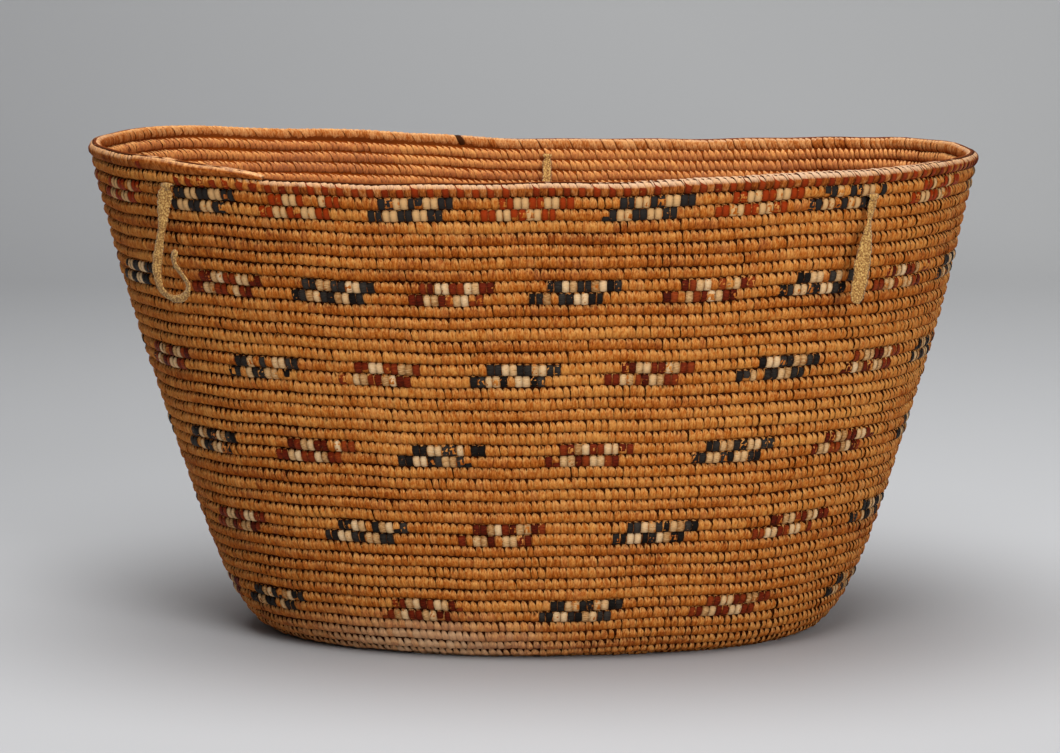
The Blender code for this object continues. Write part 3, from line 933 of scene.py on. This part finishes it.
def make_terminal():
    """The last stretch, wrapped so tightly that it shows as one smooth skin, down to its tip.
    Painted shade darkens its underside, and its top is rubbed and carries a painted highlight.
    """
    course = np.linspace(SMOOTH_START - 0.004, COURSES, TERMINAL_STATIONS)
    thin = rim_thinness(course)
    middle, outward, upward = coil_frame(course, thin)
    turns = np.arange(TERMINAL_SIDES) * 360 / TERMINAL_SIDES - 90
    section = [superellipse(turn, STRAND_HEIGHT, COIL_THICKNESS / 2) for turn in turns]
    up, out = np.array(section).T
    wide = np.outer(0.45 + 0.55 * thin, out)[:, :, None] * outward[:, None, :]
    tall = np.outer(thin, up)[:, :, None] * upward[:, None, :]
    points = (middle[:, None, :] + wide + tall).reshape(-1, 3)
    faces = tube_faces(len(course), TERMINAL_SIDES)
    item = new_object("rim_terminal_sewn", points, faces, worn_cedar)
    run = np.cumsum(np.linalg.norm(np.diff(middle, axis=0, prepend=middle[:1]), axis=1))
    along, around = np.meshgrid(run / MM, turns, indexing="ij")
    strand = np.stack([along * 0.5, around * FIBRE_MM_PER_DEGREE, np.zeros_like(along)], axis=-1)
    store(item, "strand", "FLOAT_VECTOR", strand)
    # Painted shade on the underside, where it lies on the turn below.
    edge = np.clip((np.abs(around - 90) - 115) / 45, 0, 1)
    store(item, "dark", "FLOAT", edge * 0.8)
    # Rubbed wear with a painted highlight over its top.
    store(item, "rub", "FLOAT", np.clip(np.minimum(around - 40, 150 - around) / 24, 0, 1))
    for key, value in (("tone", 0.2), ("wear", 0.35), ("chance", 0.5)):
        store(item, key, "FLOAT", np.full(len(points), value))
    smooth_sides(item)
    return item


for piece in (rim, make_terminal()):
    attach(piece, "basket")
    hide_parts("rim_coil")

# Coloured strips
# Flat strips of bark and grass stem are folded in under each strand, and cover it. They make six
# bands of small checks: two courses of five, each two strands wide, the upper one a check to the
# right. A band follows the rising coil, and steps down a course out of sight at the back.
BAND_STEP = 0.63
CHECK_STRANDS = 2
CHECKS = 5
MOTIF_STRANDS = CHECK_STRANDS * CHECKS
# Each band's upper course, the colour of its first motif, and the photograph's pixel column of
# each motif's middle, from left to right.
BANDS = (
    (41, "red", (125, 205, 303, 415, 532, 650, 760, 852, 935, 968)),
    (34, "black", (140, 227, 336, 456, 583, 713, 823, 905, 945)),
    (27, "red", (172, 267, 390, 521, 656, 779, 872, 920)),
    (20, "black", (213, 320, 449, 589, 736, 845, 905)),
    (13, "red", (241, 369, 508, 655, 793, 869)),
    (6, "red", (228, 281, 427, 580, 734, 843)),
)
BRIGHT_RED_TURN = 41
PAD_ROWS = (
    (-58, 0.84, 0.05, 0.35),
    (-40, 0.98, 0.04, 0.20),
    (-14, 1.00, 0.0, 0.16),
    (14, 1.00, 0.0, 0.16),
    (38, 0.98, -0.04, 0.20),
    (56, 0.82, -0.08, 0.40),
)
PAD_LIFT = 0.38 * MM
PAD_WIDTH = 0.98
PAD_SPREAD = 0.06
PAD_SEED = 90
NARROW_CHANCE = 0.15
HALF_CHANCE = 0.06
GONE_CHANCE = 0.06
RIM_PAD_ROWS = (
    (-66, 0.88, 0.0, 0.4),
    (-48, 1.0, 0.0, 0.2),
    (-15, 1.0, 0.0, 0.15),
    (12, 1.0, 0.0, 0.18),
    (27, 0.86, -0.2, 0.3),
)
RIM_LINE_ROWS = RIM_PAD_ROWS[:2] + (
    (-10, 1.0, 0.0, 0.15),
    (18, 0.95, 0.0, 0.18),
    (30, 0.45, -1.0, 0.25),
    (42, 0.14, -2.1, 0.3),
    (75, 0.12, -3.0, 0.35),
    (108, 0.1, -3.7, 0.35),
)


def band_strands(upper_turn, row):
    """The strands of a band's upper (0) or lower (1) course once round, from the back's step."""
    wanted = np.where(course - turn < BAND_STEP, upper_turn, upper_turn - 1) - row
    return np.nonzero(turn == wanted)[0]


def motif_places(strands, columns):
    """A band's motifs as places along its course, from their columns in the photograph. Those
    out of sight are spaced like the others."""
    away = middle[strands] - np.array(CAMERA_AT)
    seen = np.nonzero(np.einsum("ij,ij->i", away, outward[strands]) < 0)[0]
    away = away[seen]
    depth = away[:, 1] * math.cos(CAMERA_TILT) - away[:, 2] * math.sin(CAMERA_TILT)
    column = PHOTO_WIDTH / 2 + FOCAL_PIXELS * away[:, 0] / depth
    places = sorted(int(seen[np.argmin(np.abs(column - c))]) for c in columns)
    spacing = (places[-1] - places[0]) / (len(places) - 1)
    gap = places[0] + len(strands) - places[-1]
    more = max(round(gap / spacing), 1)
    return places + [round(places[-1] + gap * i / more) for i in range(1, more)]


pad_shapes = bpy.data.collections.new("strip_pads")
for rows, width in (
    (PAD_ROWS, PAD_WIDTH),
    (PAD_ROWS[:3] + ((2, 0.8, 0.3, 0.3),), PAD_WIDTH),
    (((-8, 0.8, -0.2, 0.3),) + PAD_ROWS[3:], PAD_WIDTH),
    (PAD_ROWS, PAD_WIDTH * 0.82),
    (RIM_PAD_ROWS, 0.92),
    (RIM_LINE_ROWS, 0.92),
):
    scaled = [(around, share * width, shift, drop) for around, share, shift, drop in rows]
    add_strand(pad_shapes, scaled, columns=4, lift=PAD_LIFT, fall=4, seam=0.4, uneven=0.07)
WHOLE_PAD, LOW_PAD, HIGH_PAD, NARROW_PAD, RIM_PAD = range(5)

pads = {"red": [], "black": [], "pale": []}
for upper_turn, first_colour, columns in BANDS:
    upper = band_strands(upper_turn, 0)
    lower = band_strands(upper_turn, 1)
    lower_angle = coil_angle(course[lower])
    names = ("red", "black") if first_colour == "red" else ("black", "red")
    for number, place in enumerate(motif_places(upper, columns)):
        angle = coil_angle(course[upper[place % len(upper)]])
        apart = np.abs((lower_angle - angle + math.pi) % (2 * math.pi) - math.pi)
        below = int(np.argmin(apart))
        for row, centre in ((upper, place + 1), (lower, below - 1)):
            for i in range(MOTIF_STRANDS):
                strand = row[(centre - MOTIF_STRANDS // 2 + i) % len(row)]
                name = "pale" if i // CHECK_STRANDS % 2 else names[number % 2]
                draw = rng.random()
                if draw < GONE_CHANCE:
                    continue
                shape = NARROW_PAD if rng.random() < NARROW_CHANCE else WHOLE_PAD
                if name != "pale" and draw < GONE_CHANCE + HALF_CHANCE:
                    shape = LOW_PAD if rng.random() < 0.5 else HIGH_PAD
                pads[name].append((strand, shape, float(upper_turn == BRIGHT_RED_TURN)))

# The rim's outer side carries a red strip under every second strand, from where the coil
# becomes the rim, round the front and the right end, with fewer of them towards the left end.
RIM_RED_START = COURSES - 1 - 13 / 360
rim_share = rim_course - (COURSES - 1)
red_share = ((0, 0.36, 0.40, 0.84, 0.86, 0.96, 0.97), (1, 1, 0.75, 0.75, 0.15, 0.15, 0))
rim_chance = np.interp(rim_share, *red_share)
rim_red = np.nonzero((np.arange(count) % 2 == 0) & (rng.random(count) < rim_chance * 0.95))[0]
low_rim = np.nonzero(course > RIM_RED_START)[0][::2]


def bark_material(name, dark, middle, light, other, under, roughness):
    """Bark or grass stem, split thin and laid flat: satin, with grain across the pad, painted shade
    at its edges and low down, and small breaks where the strand below shows. Real grain is finer,
    but this shows."""
    keys = ("strand", "chance", "tone", "dark")
    found = strand_material(name, roughness, keys, 91.0, (0.35, 1.5, 1.0), 0.6)
    material, tree, shader, read, shift, grain = found
    mix = {0: read["chance"], 1: 0.35}
    mix = add(tree, "ShaderNodeMath", mix, operation="MULTIPLY").outputs[0]
    mix = {0: grain, 1: 0.7, 2: mix}
    mix = add(tree, "ShaderNodeMath", mix, operation="MULTIPLY_ADD").outputs[0]
    ramp = add(tree, "ShaderNodeValToRGB", {"Fac": mix})
    set_ramp(ramp, (0.3, dark), (0.5, middle), (0.78, light))
    broken = {"Vector": read["strand"], "W": shift, "Scale": 0.3}
    broken = add(tree, "ShaderNodeTexNoise", broken, noise_dimensions="4D").outputs["Fac"]
    broken = {"Value": broken, "From Min": 0.69, "From Max": 0.74, "To Max": 0.75}
    broken = add(tree, "ShaderNodeMapRange", broken).outputs[0]
    # The last layer is painted shade at the pad's edges and low down.
    layers = ((read["tone"], other), (broken, under), (read["dark"], "#1e0c04"))
    finish_surface(tree, shader, ramp.outputs["Color"], layers, grain, 0.5 * MM)
    shader.inputs["Specular IOR Level"].default_value = 0.05
    return material


red_bark = bark_material("red cherry bark", "#3e1004", "#70220c", "#9c4418", "#9a340a", "#a8642a", 0.5)
black_bark = bark_material("black dyed bark", "#100d0b", "#211d1a", "#403a34", "#2a2623", "#a8642a", 0.5)
pale_stem = bark_material("pale grass stem", "#a06a36", "#daab74", "#eecb9e", "#d8a870", "#c08a4c", 0.62)

on_wall = {"middle": middle, "outward": outward, "upward": upward}
on_rim = {"middle": rim_middle, "outward": rim_outward, "upward": rim_upward}
for name, material, slot in (
    ("red", red_bark, "red_bark"),
    ("black", black_bark, "black_bark"),
    ("pale", pale_stem, "pale_strip"),
):
    strands, shapes, tones = map(np.array, zip(*pads[name]))
    stitches = {key: values[strands] for key, values in on_wall.items()}
    if name == "red":
        for key, values in on_wall.items():
            more = (on_rim[key][rim_red], values[low_rim])
            stitches[key] = np.concatenate([stitches[key], *more])
        extra = len(rim_red) + len(low_rim)
        shapes = np.concatenate([shapes, RIM_PAD + rng.integers(0, 2, extra)])
        tones = np.concatenate([tones, rng.uniform(0.3, 0.95, extra)])
    stitches |= {"size": np.ones((len(shapes), 3)), "shape": shapes, "tone": tones}
    stitches["wear"] = np.zeros(len(shapes))
    tilt = math.radians(2.5)
    piece = sew(name + "_strips", stitches, pad_shapes, material, tilt, PAD_SPREAD, PAD_SEED)
    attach(piece, "basket")

# Floor, backdrop and light
# One seamless pale grey sheet, curved up behind the basket, under broad soft lights.
FLOOR_FRONT = -3.2
FLOOR_BACK = 2.2
SWEEP_RADIUS = 1.2
SWEEP_STEPS = 12
SWEEP_HEIGHT = 3.0
STAGE_HALF_WIDTH = 4.0
LAMP_TARGET = Vector((0, 0, 0.15))

# The paper is painted a little lighter towards the back and the right: painted light falloff.
sweep_material, tree, shader = new_material("paper sweep", 0.9)
place = add(tree, "ShaderNodeTexCoord").outputs["Object"]
place = add(tree, "ShaderNodeSeparateXYZ", {"Vector": place}).outputs
away = add(tree, "ShaderNodeMath", {0: place["X"], 1: 1.1, 2: place["Y"]}, operation="MULTIPLY_ADD")
away = add(tree, "ShaderNodeMapRange", {"Value": away.outputs[0], "From Min": -0.4, "From Max": 3.2})
paper = add(tree, "ShaderNodeValToRGB", {"Fac": away.outputs[0]})
set_ramp(paper, (0.1, "#b2b3b5"), (0.65, "#cccdcf"), (1.0, "#dedfe0"))
tree.links.new(paper.outputs["Color"], shader.inputs["Base Color"])
profile = [(FLOOR_FRONT, 0.0)]
for step in range(SWEEP_STEPS + 1):
    bend_angle = math.radians(90 * step / SWEEP_STEPS)
    y = FLOOR_BACK + SWEEP_RADIUS * math.sin(bend_angle)
    profile.append((y, SWEEP_RADIUS * (1 - math.cos(bend_angle))))
profile.append((FLOOR_BACK + SWEEP_RADIUS, SWEEP_HEIGHT))
points = [(x, y, z) for y, z in profile for x in (-STAGE_HALF_WIDTH, STAGE_HALF_WIDTH)]
faces = [(2 * i, 2 * i + 1, 2 * i + 3, 2 * i + 2) for i in range(len(profile) - 1)]
sweep = new_object("paper_sweep", points, faces, sweep_material)
sweep.data.polygons.foreach_set("use_smooth", [True] * len(faces))

world = bpy.data.worlds.new("studio")
scene.world = world
world.use_nodes = True
glow = world.node_tree.nodes["Background"].inputs
glow["Color"].default_value = (1, 1, 1, 1)
glow["Strength"].default_value = 0.1

for name, place, size, power in (
    ("overhead", (-0.15, -0.2, 2.4), 2.2, 60),
    ("front", (0.05, -1.8, 2.2), 1.2, 22),
    ("right", (1.3, -2.6, 1.1), 1.4, 42),
):
    lamp = bpy.data.lights.new(name, "AREA")
    lamp.shape = "DISK"
    lamp.size = size
    lamp.energy = power
    item = bpy.data.objects.new(name, lamp)
    scene.collection.objects.link(item)
    item.location = place
    item.rotation_euler = (LAMP_TARGET - Vector(place)).to_track_quat("-Z", "Y").to_euler()
